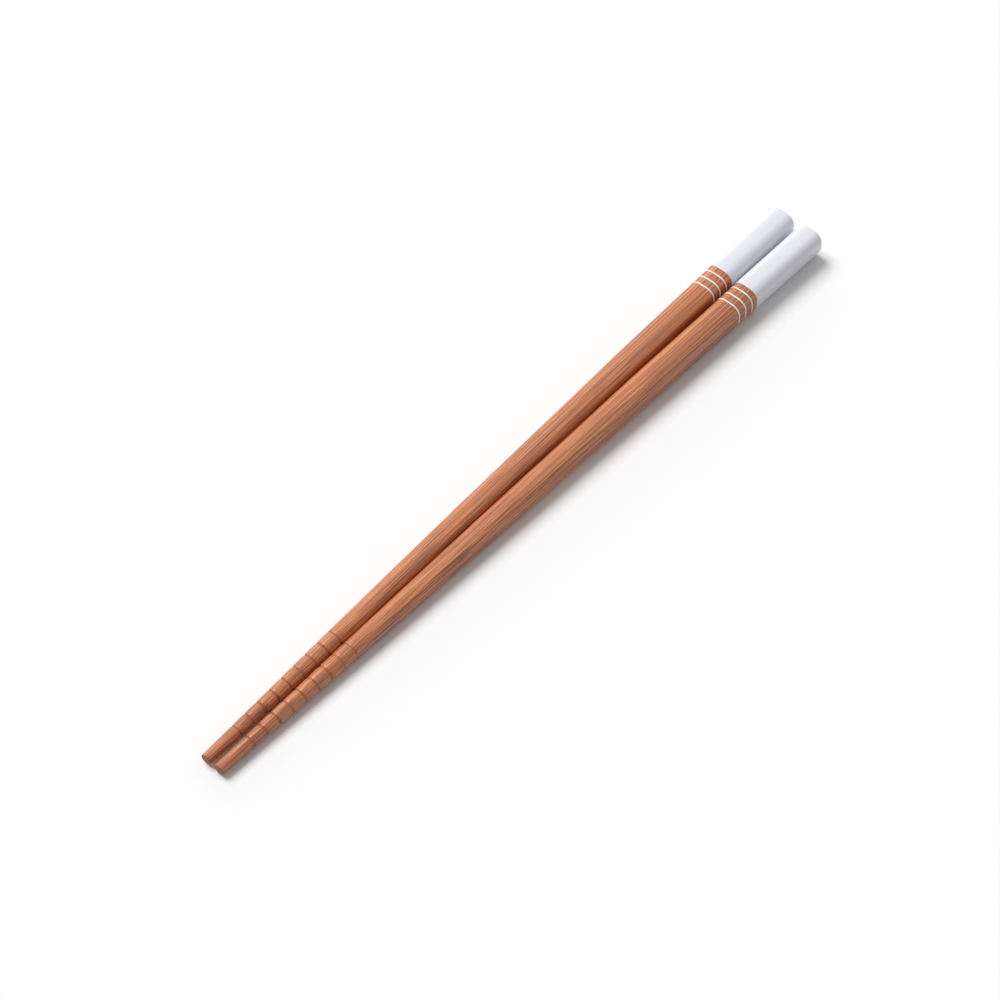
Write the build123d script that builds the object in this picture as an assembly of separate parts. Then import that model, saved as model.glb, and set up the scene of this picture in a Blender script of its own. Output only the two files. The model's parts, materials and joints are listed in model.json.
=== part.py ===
from build123d import *
from math import atan, atan2, cos, degrees, radians, sin, sqrt, tan
import os

# A pair of bamboo chopsticks with turned grip grooves and white lacquered ends, in millimetres.
# A stick is drawn on its own axis, from x = 0 at the tip, and then laid down beside the other one.
# In the finished frame +X runs from the tips to the butts, +Z is up, and the origin is on the
# table under the middle of the pair.

# The whole stick, lacquer included
stick_length = 240.0
tip_diameter = 3.3
tip_edge_break = 0.3

# The turned grip, round from the tip up to the last groove, and a little barrelled between grooves
grip_diameter = 5.5
barrel_drop = 0.04
groove_count = 9
first_groove = 11.4
groove_pitch = 4.68
groove_width = 0.8
groove_depth = 0.22

# The handle, which grows from the round grip into a square with bowed sides and round corners:
# the bow's and the corner's radii go with the width
square_start = 100.0
handle_start = 170.0
handle_side = 8.1
butt_side = 8.4
bow_share = 2.0
corner_share = 0.35

# The white lacquer: a dipped end, thicker over the sawn butt, where it drew into a round edge
lacquer_length = 29.4
lacquer_thickness = 0.15
butt_lacquer_thickness = 0.6
butt_edge_round = 0.8
butt_edge_facets = 2

# Thin rings painted on the bamboo just below the lacquer
ring_count = 3
ring_width = 0.55
ring_pitch = 2.8
ring_to_lacquer = 1.6
ring_thickness = 0.06

# How the pair lies: side by side, opening towards the butts, with a hair of air where it is closest
lay_angle = 1.36
closest_gap = 0.15

# Places along the stick that follow from the sizes above
groove_middles = [first_groove + groove_pitch * i for i in range(groove_count)]
grip_length = groove_middles[-1] + groove_width / 2
bamboo_length = stick_length - butt_lacquer_thickness
lacquer_start = stick_length - lacquer_length
last_ring = lacquer_start - ring_to_lacquer - ring_width / 2
ring_middles = [last_ring - ring_pitch * i for i in range(ring_count)]


def between(x, x0, size0, x1, size1):
    """The size at x on a straight taper from size0 at x0 to size1 at x1."""
    return size0 + (size1 - size0) * (x - x0) / (x1 - x0)


def width_at(x):
    """The bamboo's width at x: three straight tapers, each flatter than the one before."""
    if x < grip_length:
        return between(x, 0, tip_diameter, grip_length, grip_diameter)
    if x < handle_start:
        return between(x, grip_length, grip_diameter, handle_start, handle_side)
    return between(x, handle_start, handle_side, stick_length, butt_side)


def grip():
    """The turned end: a flat tip with its edge broken, and barrelled segments between vee grooves."""
    def surface(x, depth=0.0):
        return (x, width_at(x) / 2 - depth)

    start = surface(tip_edge_break)
    outline = Polyline((0, 0), surface(0, tip_edge_break), start).edges()
    for middle in groove_middles:
        near, far = middle - groove_width / 2, middle + groove_width / 2
        top = surface((start[0] + near) / 2)
        shoulder = surface(near, barrel_drop)
        end = surface(far, barrel_drop if far < grip_length else 0.0)
        outline.append(Spline(start, top, shoulder))
        outline += Polyline(shoulder, surface(middle, groove_depth), end).edges()
        start = end
    outline += Polyline(start, (grip_length, 0), (0, 0)).edges()
    return revolve(make_face(outline), Axis.X)


# Where a bowed side's and a corner's arcs are centred and meet, on a section one wide. The centres
# lie bow_centre below the middle, and corner_centre out from it both ways
bow_centre = bow_share - 0.5
corner_centre = (sqrt(2 * (bow_share - corner_share) ** 2 - bow_centre**2) - bow_centre) / 2
side_angle = degrees(atan2(corner_centre, corner_centre + bow_centre))


def ring_of_arcs(x, side_arc, corner_arc):
    """A section at x in twelve arcs: the halves of each side, split where it rests, and the corners.

    Each arc is given as its centre, for the side and the corner at 0 degrees, and its radius.
    """
    arcs = []
    for quarter in range(4):
        turn = Rot(0, 0, 90 * quarter)
        arcs.append(turn * CenterArc(*side_arc, -side_angle, side_angle))
        arcs.append(turn * CenterArc(*side_arc, 0, side_angle))
        arcs.append(turn * CenterArc(*corner_arc, side_angle, 90 - 2 * side_angle))
    return Plane.YZ.offset(x) * make_face(arcs)


def round_section(x):
    """The round section at x, in arcs that match those of the square."""
    arc = ((0, 0), width_at(x) / 2)
    return ring_of_arcs(x, arc, arc)


def square_section(x, coat=0.0):
    """The bowed square with round corners at x, grown by the thickness of a coat."""
    width = width_at(x)
    side_arc = ((-bow_centre * width, 0), bow_share * width + coat)
    corner_arc = ((corner_centre * width, corner_centre * width), corner_share * width + coat)
    return ring_of_arcs(x, side_arc, corner_arc)


def handle():
    """Round where it meets the grip, and a rounded square from square_start to the sawn butt."""
    squares = [square_section(x) for x in (square_start, handle_start, bamboo_length)]
    return loft([round_section(grip_length)] + squares, ruled=True)


def lacquer_end(bamboo):
    """The dipped coat: even over the sides, with a round edge in facets at the butt."""
    sections = [square_section(lacquer_start, lacquer_thickness)]
    for i in range(butt_edge_facets + 1):
        angle = radians(90 * i / butt_edge_facets)
        x = stick_length - butt_edge_round * (1 - sin(angle))
        inset = butt_edge_round * (1 - cos(angle))
        sections.append(square_section(x, lacquer_thickness - inset))
    return loft(sections, ruled=True) - bamboo


def painted_ring(bamboo, middle):
    """One thin band of paint round the bamboo."""
    edges = (middle - ring_width / 2, middle + ring_width / 2)
    return loft([square_section(x, ring_thickness) for x in edges], ruled=True) - bamboo


def one_stick():
    """The pieces of one stick, by name, on its own axis."""
    bamboo = grip() + handle()
    pieces = {"stick": bamboo, "lacquer_end": lacquer_end(bamboo)}
    for i, middle in enumerate(ring_middles):
        pieces[f"ring_{i + 1}"] = painted_ring(bamboo, middle)
    return pieces


# Where a stick is widest at each change of taper: its place and its half width, coats included
shoulders = [(x, width_at(x) / 2) for x in (0, grip_length, handle_start)]
shoulders += [(x, width_at(x) / 2 + ring_thickness) for x in ring_middles]
shoulders += [(x, width_at(x) / 2 + lacquer_thickness) for x in (lacquer_start, stick_length)]

# A stick rests on the straight underside between its grip and its handle, so its axis climbs
# towards the butt by half that stretch's taper, and nothing hangs below the table
climb = atan((handle_side - grip_diameter) / 2 / (handle_start - grip_length))
axis_height = max(half * cos(climb) - x * sin(climb) for x, half in shoulders)

# The two axes are as near as the closest shoulders allow
opening = tan(radians(lay_angle / 2))
tip_offset = max(half - x * opening for x, half in shoulders) + closest_gap / 2


def laid_down(side):
    """Where a stick's own axis lies in the pair: side is 1 for the left stick, -1 for the right."""
    turned = Rot(0, 0, side * lay_angle / 2) * Rot(0, -degrees(climb), 0)
    return Pos(0, side * tip_offset, axis_height) * turned


pair = {}
for name, side in (("left", 1), ("right", -1)):
    for piece, solid in one_stick().items():
        pair[f"{name}_{piece}"] = laid_down(side) * solid

boxes = [solid.bounding_box() for solid in pair.values()]
middle_x = (min(box.min.X for box in boxes) + max(box.max.X for box in boxes)) / 2

os.makedirs("parts", exist_ok=True)
for node, solid in pair.items():
    export_step(Pos(-middle_x, 0, 0) * solid, f"parts/{node}.step")
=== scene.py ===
import json
import random
from math import atan2, cos, exp, pi, radians, sin, sqrt

import bpy
from mathutils import Matrix, Quaternion, Vector


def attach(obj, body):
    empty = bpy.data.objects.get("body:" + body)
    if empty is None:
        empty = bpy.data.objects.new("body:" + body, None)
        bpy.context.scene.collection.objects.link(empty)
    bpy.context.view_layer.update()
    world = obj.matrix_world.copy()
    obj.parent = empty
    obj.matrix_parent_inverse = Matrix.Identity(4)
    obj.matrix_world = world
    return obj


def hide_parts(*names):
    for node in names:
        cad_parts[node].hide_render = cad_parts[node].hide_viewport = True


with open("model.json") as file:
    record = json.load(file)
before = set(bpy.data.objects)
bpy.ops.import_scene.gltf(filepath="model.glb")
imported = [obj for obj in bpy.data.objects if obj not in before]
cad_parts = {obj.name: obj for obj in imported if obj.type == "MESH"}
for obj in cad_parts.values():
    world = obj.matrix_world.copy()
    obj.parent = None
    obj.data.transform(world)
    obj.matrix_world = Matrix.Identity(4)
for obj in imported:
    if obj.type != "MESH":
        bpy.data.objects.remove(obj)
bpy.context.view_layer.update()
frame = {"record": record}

# Lengths in the dictionaries are millimetres, as on the drawing. Each stick is built along its own
# +X axis, with x = 0 at the tip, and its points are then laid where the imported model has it.
mm = 0.001

stick = {
    "length": 240.0,
    "tipDiameter": 3.3,
    "tipEdge": 0.32,  # radius of its soft edge
    "tipStart": 0.001,  # a hair inside the solid's length
    "gripDiameter": 5.5,
    "grooveCount": 9,
    "firstGroove": 11.4,
    "groovePitch": 4.68,
    "grooveWidth": 0.8,
    "grooveDepth": 0.22,
    "squareStart": 100.0,
    "handleStart": 170.0,
    "handleSide": 8.1,
    "buttSide": 8.4,
    "bowShare": 2.0,  # radii of the bowed sides and of the corners, in widths
    "cornerShare": 0.35,
    "buttCover": 0.6,  # what the lacquer adds beyond the sawn butt
    "softGroove": 1.6,  # lower for wider, softer shoulders
    "grooveFade": 3.0,  # half widths from a groove's middle to where it has faded away
    "grooveDepths": (0.6, 0.95),  # shares of the full depth: no two grooves are turned alike
    "barrel": 0.065,
    "unevenness": 0.012,  # how far hand sanding leaves a face off true, always inwards
    "sandingTurn": 37.0,  # length over which the unevenness turns by a radian
    "sandingFade": 19.0,  # and over which it comes and goes
    "grooveSpan": 0.75,  # each way from a groove's middle the mesh is at its finest
    "grooveSteps": 22,
    "barrelSteps": 16,
    "tipSteps": 7,
    "handleSteps": (6, 30, 34, 40),
}
grooves = [stick["firstGroove"] + stick["groovePitch"] * i for i in range(stick["grooveCount"])]
gripLength = grooves[-1] + stick["grooveWidth"] / 2
bambooLength = stick["length"] - stick["buttCover"]


# The stick's form

def between(x, x0, size0, x1, size1):
    return size0 + (size1 - size0) * (x - x0) / (x1 - x0)


def widthAt(x):  # three straight tapers, each flatter than the one before
    if x < gripLength:
        return between(x, 0, stick["tipDiameter"], gripLength, stick["gripDiameter"])
    if x < stick["handleStart"]:
        return between(x, gripLength, stick["gripDiameter"],
                       stick["handleStart"], stick["handleSide"])
    return between(x, stick["handleStart"], stick["handleSide"], stick["length"], stick["buttSide"])


bowCentre = stick["bowShare"] - 0.5  # centres of the section's arcs, on a section one wide
arcsApart = stick["bowShare"] - stick["cornerShare"]
cornerCentre = (sqrt(2 * arcsApart**2 - bowCentre**2) - bowCentre) / 2
sideAngle = atan2(cornerCentre, cornerCentre + bowCentre)


def anglesAround(perSide, perCorner):  # the ways the surface faces, in steps on sides and corners
    angles = []
    for quarter in range(4):
        turn = quarter * pi / 2
        angles += [turn - sideAngle + 2 * sideAngle * i / perSide for i in range(perSide)]
        corner = pi / 2 - 2 * sideAngle
        angles += [turn + sideAngle + corner * i / perCorner for i in range(perCorner)]
    return angles


around = anglesAround(12, 20)


def squarePoint(angle):  # the bowed square one wide, where it faces this way
    quarter = int((angle + sideAngle) // (pi / 2))
    turn = quarter * pi / 2
    facing = angle - turn
    if facing <= sideAngle:
        y = stick["bowShare"] * cos(facing) - bowCentre
        z = stick["bowShare"] * sin(facing)
    else:
        y = stick["cornerShare"] * cos(facing) + cornerCentre
        z = stick["cornerShare"] * sin(facing) + cornerCentre
    return y * cos(turn) - z * sin(turn), y * sin(turn) + z * cos(turn)


def sectionPoint(x, angle, coat):  # across the stick at x: (y, z), grown by a coat
    if x <= gripLength:
        y = z = 0.0
        coat += widthAt(x) / 2
    elif x < stick["squareStart"]:
        share = (x - gripLength) / (stick["squareStart"] - gripLength)
        y, z = (share * widthAt(stick["squareStart"]) * v for v in squarePoint(angle))
        coat += (1 - share) * stick["gripDiameter"] / 2
    else:
        y, z = (widthAt(x) * v for v in squarePoint(angle))
    return y + coat * cos(angle), z + coat * sin(angle)


def ripples(seed, count, slowest):  # a gentle closed wave round the stick, from -1 to 1
    draw = random.Random(seed)
    waves = [(slowest + i, draw.uniform(0, 2 * pi), draw.uniform(0.4, 1) / (1 + i))
             for i in range(count)]
    whole = sum(size for _, _, size in waves)
    return lambda angle: sum(size * sin(n * angle + start) for n, start, size in waves) / whole


def grooveDepthAt(x, depths):  # soft-shouldered grooves with slightly barrelled stretches between
    depth = 0.0
    for middle, deep in zip(grooves, depths):
        reach = abs(x - middle) / (stick["grooveWidth"] / 2)
        if reach < stick["grooveFade"]:
            depth += deep * exp(-(stick["softGroove"] * reach) ** 2)
    if grooves[0] < x < grooves[-1]:
        place = ((x - grooves[0]) / stick["groovePitch"]) % 1
        depth += stick["barrel"] * (2 * abs(place - 0.5)) ** 3
    return depth


# Meshes

sharpAngle = radians(50)  # any sharper bend is shaded as an edge


def closedMesh(name, laid, rings, startCap, endCap, marks, markName, joined=False):
    points = [p for ring in rings for p in ring]
    count = len(rings[0])
    faces = []
    for i in range(len(rings) if joined else len(rings) - 1):
        a, b = i * count, (i + 1) % len(rings) * count
        faces += [(a + j, a + (j + 1) % count, b + (j + 1) % count, b + j) for j in range(count)]
    if startCap is not None:
        points.append(startCap)
        faces += [(len(points) - 1, (j + 1) % count, j) for j in range(count)]
    if endCap is not None:
        points.append(endCap)
        last = (len(rings) - 1) * count
        faces += [(len(points) - 1, last + j, last + (j + 1) % count) for j in range(count)]
    mesh = bpy.data.meshes.new(name)
    mesh.from_pydata([laid @ (Vector(p) * mm) for p in points], [], faces)
    mesh.polygons.foreach_set("use_smooth", [True] * len(faces))
    mesh.set_sharp_from_angle(angle=sharpAngle)
    mark = mesh.attributes.new(markName, "FLOAT", "POINT")
    mark.data.foreach_set("value", marks + [marks[-1]] * (len(points) - len(marks)))
    # Each point's place on the stick, for the grain
    own = mesh.attributes.new("own", "FLOAT_VECTOR", "POINT")
    own.data.foreach_set("vector", [v * mm for p in points for v in p])
    made = bpy.data.objects.new(name, mesh)
    bpy.context.scene.collection.objects.link(made)
    return made


def stations(stops, steps):  # places along the stick: each stretch between stops in so many steps
    places = []
    for (start, end), count in zip(zip(stops, stops[1:]), steps):
        places += [start + (end - start) * i / count for i in range(count)]
    return places + [stops[-1]]


# Shader nodes

class Wire:  # an output socket; sums on wires and numbers add Math nodes
    def __init__(self, net, socket):
        self.net = net
        self.socket = socket

    def sum(self, operation, first, second):
        return self.net.add("ShaderNodeMath", {"operation": operation}, {0: first, 1: second})

    def __add__(self, other):
        return self.sum("ADD", self, other)

    def __sub__(self, other):
        return self.sum("SUBTRACT", self, other)

    def __rsub__(self, other):
        return self.sum("SUBTRACT", other, self)

    def __mul__(self, other):
        return self.sum("MULTIPLY", self, other)

    __radd__ = __add__
    __rmul__ = __mul__


class Net:  # the node tree of one material or of the world
    def __init__(self, owner):
        owner.use_nodes = True
        self.tree = owner.node_tree
        self.tree.nodes.clear()

    def add(self, kind, settings=None, inputs=None, out=0):
        made = self.tree.nodes.new(kind)
        for key, value in (settings or {}).items():
            if key == "stops":
                self.setStops(made.color_ramp, value)
            else:
                setattr(made, key, value)
        for key, value in (inputs or {}).items():
            if isinstance(value, Wire):
                self.tree.links.new(value.socket, made.inputs[key])
            else:
                made.inputs[key].default_value = value
        return Wire(self, made.outputs[out]) if made.outputs else made

    def setStops(self, ramp, stops):
        while len(ramp.elements) < len(stops):
            ramp.elements.new(1.0)
        for element, (place, colour) in zip(ramp.elements, stops):
            element.position = place
            element.color = (*colour, 1.0)

    def mix(self, share, first, second):  # of two colours
        colours = {0: share, 6: (*first, 1) if isinstance(first, tuple) else first}
        colours[7] = (*second, 1) if isinstance(second, tuple) else second
        return self.add("ShaderNodeMix", {"data_type": "RGBA"}, colours, out=2)

    def grain(self, place, stretch, detail, roughness, shift):
        drawn = self.add("ShaderNodeVectorMath", {"operation": "MULTIPLY_ADD"},
                         {0: place, 1: stretch, 2: shift})
        return self.add("ShaderNodeTexNoise", {"noise_dimensions": "3D"},
                        {"Vector": drawn, "Scale": 1.0, "Detail": detail, "Roughness": roughness})

    def spread(self, value, low, high, smooth=True):  # low..high opened out to 0..1
        return self.add("ShaderNodeMapRange",
                        {"interpolation_type": "SMOOTHSTEP" if smooth else "LINEAR", "clamp": True},
                        {"Value": value, "From Min": low, "From Max": high})

    def finish(self, sockets, bumps=None):
        if bumps:
            height, distance, strength = bumps
            sockets = dict(sockets)
            relief = {"Height": height, "Distance": distance, "Strength": strength}
            sockets["Normal"] = self.add("ShaderNodeBump", {}, relief)
        shader = self.add("ShaderNodeBsdfPrincipled", {}, sockets)
        self.add("ShaderNodeOutputMaterial", {}, {"Surface": shader})


# Bamboo

bambooLook = {
    "fibre": (24, 4800, 4800),  # each grain is drawn out along the stick: so many a metre, by axis
    "strand": (8, 2400, 2400),
    "band": (7, 360, 360),
    "threadLine": (12, 3700, 3700),
    "fleck": (240, 6500, 6500),
    "dark": (0.195, 0.052, 0.016),
    "middle": (0.475, 0.140, 0.039),
    "light": (0.73, 0.272, 0.092),
    "warm": (0.55, 0.153, 0.048),
    "thread": (0.110, 0.030, 0.011),
    "threadShare": 0.8,
    "outerThreads": 0.25,  # how much of the threads shows on the culm's dense outer side
    "fleckShare": 0.35,
    "bandShare": 0.35,
    # painted shade in and beside the grooves, standing in for shade in the recesses and on the
    # barrels' shoulders
    "groovePaintedShade": (0.15, 0.040, 0.015),
    "groovePaintedShadeShare": 0.4,
    "sawn": (0.15, 0.055, 0.030),
    "sawnShare": 0.7,
    "roughness": 0.48,
    "darkRoughness": 0.12,  # the dark fibres are this much rougher
    "varnish": 0.62,
    "varnishRoughness": 0.22,
    "relief": 0.05,
    "reliefStrength": 0.6,
}


def bambooFinish(name, seed):
    material = bpy.data.materials.new(name)
    net = Net(material)
    place = net.add("ShaderNodeAttribute", {"attribute_name": "own"}, out="Vector")
    along = net.add("ShaderNodeSeparateXYZ", {}, {0: place}, out="X")
    across = net.add("ShaderNodeSeparateXYZ", {}, {0: place}, out="Y")
    draw = random.Random(seed)
    shift = tuple(draw.uniform(10, 60) for _ in range(3))
    # Bamboo's fibres run dead straight along the stick
    fibre = net.grain(place, bambooLook["fibre"], 4.0, 0.70, shift)
    strand = net.grain(place, bambooLook["strand"], 2.0, 0.5, shift)
    band = net.grain(place, bambooLook["band"], 1.0, 0.5, shift)
    thread = net.grain(place, bambooLook["threadLine"], 1.0, 0.4, shift[::-1])
    fleck = net.grain(place, bambooLook["fleck"], 1.0, 0.5, shift)
    tone = net.spread(fibre * 0.6 + strand * 0.4, 0.41, 0.585, False)
    wood = net.add("ShaderNodeValToRGB", {"stops": [
        (0.0, bambooLook["dark"]), (0.5, bambooLook["middle"]), (1.0, bambooLook["light"])]},
        {"Fac": tone})
    warm = net.mix(net.spread(band, 0.35, 0.65) * bambooLook["bandShare"], wood, bambooLook["warm"])
    # The culm's outer side, at +Y, is dense and even; dark threads lie open towards the inner one
    inner = net.spread(band * 3.0 * mm - across, 0.6 * mm, 3.4 * mm)
    openness = bambooLook["outerThreads"] + inner * (1 - bambooLook["outerThreads"])
    threads = net.spread(thread, 0.56, 0.65) * openness * bambooLook["threadShare"]
    lined = net.mix(threads, warm, bambooLook["thread"])
    flecks = net.spread(fleck, 0.64, 0.76) * bambooLook["fleckShare"]
    flecked = net.mix(flecks, lined, bambooLook["thread"])
    # The groove mark paints shade in and beside the grooves, darkest at their bottoms
    groove = net.add("ShaderNodeAttribute", {"attribute_name": "groove"}, out="Fac")
    turned = net.mix(groove * bambooLook["groovePaintedShadeShare"], flecked, bambooLook["groovePaintedShade"])
    sawn = 1 - net.spread(along, 0.05 * mm, 0.30 * mm)
    colour = net.mix(sawn * bambooLook["sawnShare"], turned, bambooLook["sawn"])
    roughness = bambooLook["roughness"] + (1 - tone) * bambooLook["darkRoughness"]
    varnish = (1 - sawn) * (1 - groove) * bambooLook["varnish"]
    height = fibre * 0.6 + strand * 0.6 - threads * 0.5
    net.finish({"Base Color": colour, "Roughness": roughness, "Coat Weight": varnish,
                "Coat Roughness": bambooLook["varnishRoughness"]},
               (height, bambooLook["relief"] * mm, bambooLook["reliefStrength"]))
    return material


def bambooStick(name, laid, finish, seed):
    draw = random.Random(seed)
    depths = [stick["grooveDepth"] * draw.uniform(*stick["grooveDepths"]) for _ in grooves]
    sway = ripples(seed + 1, 4, 1)
    stops, steps = [stick["tipEdge"]], []
    for middle in grooves:
        stops += [middle - stick["grooveSpan"], middle + stick["grooveSpan"]]
        steps += [stick["barrelSteps"], stick["grooveSteps"]]
    stops += [gripLength + 4, stick["squareStart"], stick["handleStart"], bambooLength]
    steps += stick["handleSteps"]
    rings, marks = [], []
    for i in range(stick["tipSteps"]):  # the tip's soft edge, a quarter round
        turn = pi / 2 * i / stick["tipSteps"]
        x = between(1 - cos(turn), 0, stick["tipStart"], 1, stick["tipEdge"])
        inset = stick["tipEdge"] * (1 - sin(turn))
        rings.append([(x, *sectionPoint(x, a, -inset)) for a in around])
        marks += [0.0] * len(around)
    for x in stations(stops, steps):
        depth = grooveDepthAt(x, depths)
        ring = []
        for a in around:
            wave = sway(a + x / stick["sandingTurn"]) * cos(x / stick["sandingFade"] + seed)
            rough = stick["unevenness"] * 0.5 * (1 + wave)
            ring.append((x, *sectionPoint(x, a, -depth - rough)))
        rings.append(ring)
        # The groove mark, which sets the painted shade in and beside the grooves, leaves the
        # barrels' slight drop out
        marks += [min(1.0, max(0.0, depth / stick["grooveDepth"] - 0.12) * 1.25)] * len(around)
    startCap, endCap = (stick["tipStart"], 0, 0), (bambooLength, 0, 0)
    made = closedMesh(name, laid, rings, startCap, endCap, marks, "groove")
    made.data.materials.append(finish)
    return made


# White lacquer and painted rings

lacquer = {
    "length": 29.4,
    "thickness": 0.15,
    "buttRound": 0.5,  # radius of the edge at the butt
    "shortOf": 0.008,  # keeps the butt's wider flat inside the solid's length
    "dipLine": {"left": 0.4, "right": 0.18},  # how far the dip stopped short on each stick
    "lip": 0.32,  # how far back the painted edge reaches its full thickness
    "edgeWave": 0.05,
    "waveReach": 1.5,  # how far back from its edge the paint still wavers
    "sink": 0.03,  # the coat's inner skin lies this far inside the bamboo
    "overlap": 0.1,  # and reaches this far past the bamboo's end and the painted edge
    "drawnIn": 0.007,  # keeps the widest corners inside the solid's width
    "skinSteps": 4,
    "lipSteps": 8,
    "sideSteps": 30,
    "roundSteps": 12,
    "buttShares": (0.8, 0.55, 0.3, 0.12),  # the butt's flat, drawn in to its middle
    "white": (0.78, 0.785, 0.85),
    "thin": (0.74, 0.60, 0.53),  # where the bamboo shows through
    "coat": 0.25,
    "roughness": 0.24,
    "relief": 0.012,
}
paintedRings = {
    "count": 3,
    "width": 0.55,
    "pitch": 2.8,
    "toLacquer": 1.6,
    "edgeWave": 0.02,
    # Across a ring in shares of its half width: height above the bamboo, and how thin the paint is
    "profile": [
        (-1.0, -0.02, 1.0), (-1.0, 0.012, 1.0), (-0.86, 0.042, 0.6), (-0.6, 0.056, 0.15),
        (0.0, 0.058, 0.0),
        (0.6, 0.056, 0.15), (0.86, 0.042, 0.6), (1.0, 0.012, 1.0), (1.0, -0.02, 1.0)],
    "white": (0.86, 0.83, 0.81),
    "thin": (0.72, 0.50, 0.38),
    "coat": 0.15,
    "roughness": 0.38,
    "relief": 0.01,
}
lacquerStart = stick["length"] - lacquer["length"]


def paintFinish(name, look, seed):
    material = bpy.data.materials.new(name)
    net = Net(material)
    place = net.add("ShaderNodeAttribute", {"attribute_name": "own"}, out="Vector")
    shift = (seed * 3.7, seed * 1.9, seed * 2.3)
    ripple = net.grain(place, (30, 900, 900), 1.0, 0.5, shift)
    cloud = net.grain(place, (120, 260, 260), 2.0, 0.5, shift)
    speck = net.grain(place, (4200, 4200, 4200), 1.0, 0.5, shift)
    thin = net.add("ShaderNodeAttribute", {"attribute_name": "thin"}, out="Fac")
    shade = tuple(v * 0.98 for v in look["white"])
    white = net.mix(net.spread(cloud, 0.35, 0.65), shade, look["white"])
    edge = net.mix(net.spread(thin + speck * 0.35, 0.35, 1.15), white, look["thin"])
    net.finish({"Base Color": edge, "Roughness": look["roughness"] + cloud * 0.10,
                "Coat Weight": look["coat"], "Coat Roughness": 0.08},
               (ripple + speck * 0.2, look["relief"] * mm, 0.35))
    return material


def lacqueredEnd(name, laid, finish, edge, seed):
    wave = ripples(seed, 5, 2)
    full = lacquer["thickness"] - lacquer["drawnIn"]
    innerEnd = bambooLength - lacquer["overlap"]
    outline = []  # x, coat and how thin the paint is, from the inner skin's end round to the butt
    for i in range(lacquer["skinSteps"] + 1):
        x = between(i, 0, innerEnd, lacquer["skinSteps"], edge + lacquer["overlap"])
        outline.append((x, -lacquer["sink"], 1.0))
    for i in range(lacquer["lipSteps"] + 1):
        turn = pi / 2 * i / lacquer["lipSteps"]
        x = edge + lacquer["lip"] * (1 - cos(turn))
        coat = -lacquer["sink"] + (full + lacquer["sink"]) * sin(turn)
        outline.append((x, coat, 1 - sin(turn) ** 2))
    butt = stick["length"] - lacquer["shortOf"]
    lipEnd, roundStart = edge + lacquer["lip"], butt - lacquer["buttRound"]
    for i in range(1, lacquer["sideSteps"] + 1):
        outline.append((between(i, 0, lipEnd, lacquer["sideSteps"], roundStart), full, 0.0))
    for i in range(1, lacquer["roundSteps"] + 1):
        turn = pi / 2 * i / lacquer["roundSteps"]
        x = roundStart + lacquer["buttRound"] * sin(turn)
        outline.append((x, full - lacquer["buttRound"] * (1 - cos(turn)), 0.0))
    rings, marks = [], []
    for x, coat, thin in outline:
        near = max(0.0, 1 - abs(x - edge) / lacquer["waveReach"])
        ring = []
        for a in around:
            sway = lacquer["edgeWave"] * 0.5 * (1 + wave(a)) * near
            ring.append((x + sway, *sectionPoint(x + sway, a, coat)))
        rings.append(ring)
        marks += [thin] * len(around)
    rim = rings[-1]
    for share in lacquer["buttShares"]:
        rings.append([(butt, y * share, z * share) for _, y, z in rim])
        marks += [0.0] * len(around)
    made = closedMesh(name, laid, rings, (innerEnd, 0, 0), (butt, 0, 0), marks, "thin")
    made.data.materials.append(finish)
    return made


def paintedRing(name, laid, finish, middle, seed):
    nearWave, farWave = ripples(seed, 5, 2), ripples(seed + 1, 5, 3)
    half = paintedRings["width"] / 2
    rings, marks = [], []
    for place, coat, thin in paintedRings["profile"]:
        ring = []
        for a in around:
            wave = nearWave(a) if place < 0 else farWave(a)
            reach = half - paintedRings["edgeWave"] * 0.5 * (1 + wave)
            x = middle + place * reach
            ring.append((x, *sectionPoint(x, a, coat)))
        rings.append(ring)
        marks += [thin] * len(around)
    made = closedMesh(name, laid, rings, None, None, marks, "thin", joined=True)
    made.data.materials.append(finish)
    return made


# Laying the pair down: each stick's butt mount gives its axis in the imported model

def axisFrame(side):
    mount = next(m for m in frame["record"]["mounts"] if m["name"] == side + "_butt")
    along = Vector(mount["axis"]).normalized()
    across = Vector((0, 0, 1)).cross(along).normalized()
    up = along.cross(across)
    tip = Vector(mount["pos_m"]) - along * stick["length"] * mm
    turned = Matrix((along, across, up)).transposed().to_4x4()
    return Matrix.Translation(tip) @ turned


def standFor(piece, node):
    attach(piece, "root")
    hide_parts(node)


whiteLacquer = paintFinish("whiteLacquer", lacquer, 1)
ringPaint = paintFinish("ringPaint", paintedRings, 2)
lastRing = lacquerStart - paintedRings["toLacquer"] - paintedRings["width"] / 2
ringMiddles = [lastRing - paintedRings["pitch"] * i for i in range(paintedRings["count"])]
for seed, side in ((11, "left"), (23, "right")):  # the seeds make the two grow unlike
    laid = axisFrame(side)
    bamboo = bambooStick(side + "BambooStick", laid, bambooFinish(side + "Bamboo", seed), seed)
    standFor(bamboo, side + "_stick")
    edge = lacquerStart + lacquer["dipLine"][side]
    end = lacqueredEnd(side + "LacqueredEnd", laid, whiteLacquer, edge, seed + 2)
    standFor(end, side + "_lacquer_end")
    for i, middle in enumerate(ringMiddles):
        ring = paintedRing(f"{side}PaintedRing{i + 1}", laid, ringPaint, middle, seed + 10 * i)
        standFor(ring, f"{side}_ring_{i + 1}")
    print(side, "stick: bamboo, lacquer and rings laid")


# Floor and light

stage = {
    "floorSide": 60.0,  # metres, so that low views see it to the horizon
    "floorSeen": (0.97, 0.97, 0.975),
    "floorBounce": (0.80, 0.79, 0.78),  # its colour for the light it throws back
    "skyLevel": 0.34,
    "keyLevel": 2.5,
    "keyAngle": 34.0,  # wide, for soft shadows
    "keyFrom": (-0.1, 1.5, 2.2),
    "backPower": 5.0,
    "backFrom": (1.1, 2.0, 0.85),
    "backSize": (1.8, 0.9),
}


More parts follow.
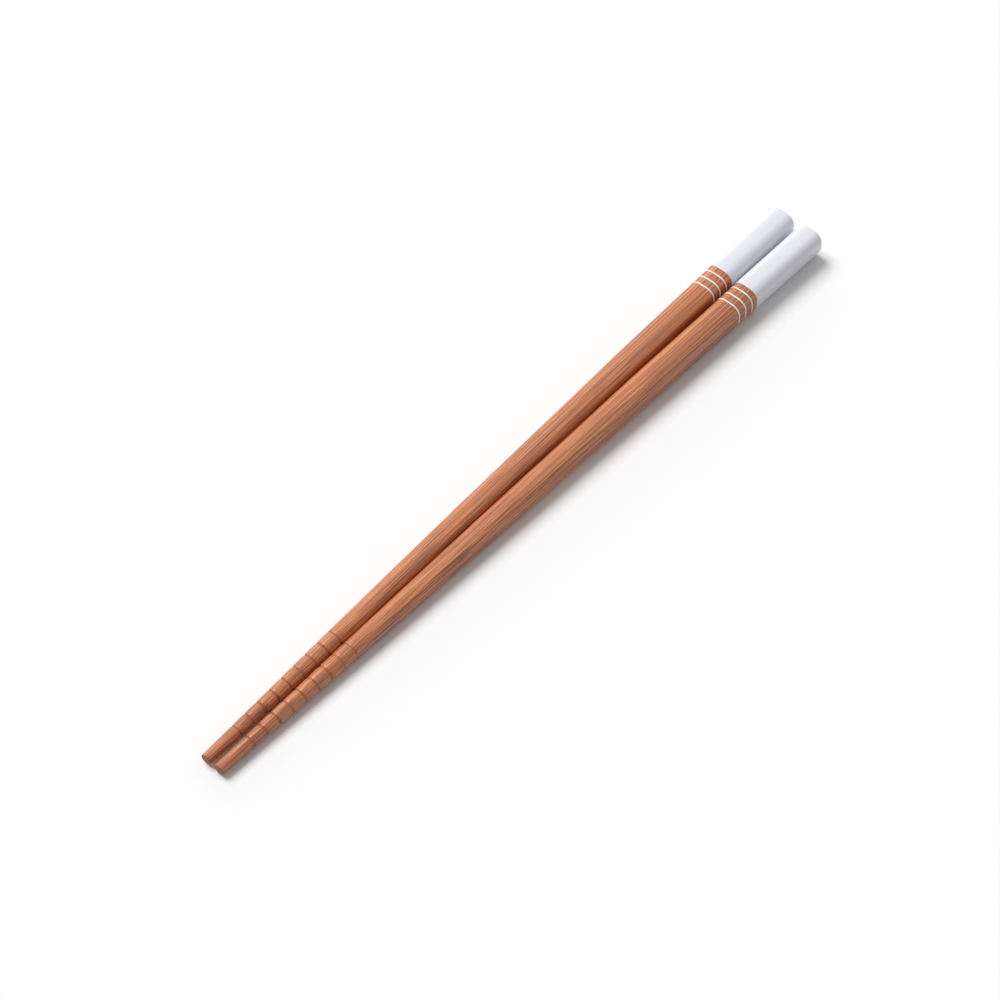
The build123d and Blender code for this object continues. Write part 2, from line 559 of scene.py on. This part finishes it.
def seenRays(net):  # 1 for what is seen, straight on, mirrored or through glass; 0 for light
    rays = [net.add("ShaderNodeLightPath", out=kind)
            for kind in ("Is Camera Ray", "Is Glossy Ray", "Is Transmission Ray")]
    return net.add("ShaderNodeMath", {"use_clamp": True}, {0: rays[0] + rays[1], 1: rays[2]})


def paleFloor():
    half = stage["floorSide"] / 2
    mesh = bpy.data.meshes.new("floor")
    corners = [(-half, -half, 0), (half, -half, 0), (half, half, 0), (-half, half, 0)]
    mesh.from_pydata(corners, [], [(0, 1, 2, 3)])
    floor = bpy.data.objects.new("floor", mesh)
    bpy.context.scene.collection.objects.link(floor)
    material = bpy.data.materials.new("paleFloor")
    net = Net(material)
    colour = net.mix(seenRays(net), stage["floorBounce"], stage["floorSeen"])
    net.finish({"Base Color": colour, "Roughness": 0.9, "Specular IOR Level": 0.1})
    mesh.materials.append(material)


def lamp(name, kind, place, power, size):
    made = bpy.data.lights.new(name, kind)
    made.energy = power
    if kind == "AREA":
        made.shape = "RECTANGLE"
        made.size, made.size_y = size
    else:
        made.angle = radians(size)
    box = bpy.data.objects.new(name, made)
    box.location = place
    box.rotation_euler = (-Vector(place)).to_track_quat("-Z", "Y").to_euler()
    bpy.context.scene.collection.objects.link(box)


def studioSky():
    world = bpy.data.worlds.new("studioSky")
    bpy.context.scene.world = world
    net = Net(world)
    grey = (stage["skyLevel"],) * 3
    colour = net.mix(seenRays(net), grey, (1.0, 1.0, 1.0))
    sky = net.add("ShaderNodeBackground", {}, {"Color": colour})
    net.add("ShaderNodeOutputWorld", {}, {"Surface": sky})


paleFloor()
studioSky()
lamp("keyLight", "SUN", stage["keyFrom"], stage["keyLevel"], stage["keyAngle"])
lamp("backSoftbox", "AREA", stage["backFrom"], stage["backPower"], stage["backSize"])
print("floor and light set")


# Camera, at the photograph's viewing angle

cameraLook = {
    "place": (-0.4015, -0.3482, 0.7074),
    "along": (0.4473, 0.3967, -0.8016),
    "roll": -0.10,  # degrees
    "lens": 116.85,
    "sensor": 36.0,
}
camera = bpy.data.objects.new("camera", bpy.data.cameras.new("camera"))
camera.data.lens = cameraLook["lens"]
camera.data.sensor_width = cameraLook["sensor"]
camera.data.clip_start = 0.01
camera.location = cameraLook["place"]
aimed = Vector(cameraLook["along"]).to_track_quat("-Z", "Y")
camera.rotation_mode = "QUATERNION"
camera.rotation_quaternion = aimed @ Quaternion((0, 0, 1), radians(cameraLook["roll"]))
bpy.context.scene.collection.objects.link(camera)
bpy.context.scene.camera = camera
bpy.context.scene.view_settings.view_transform = "Standard"
print("camera set")
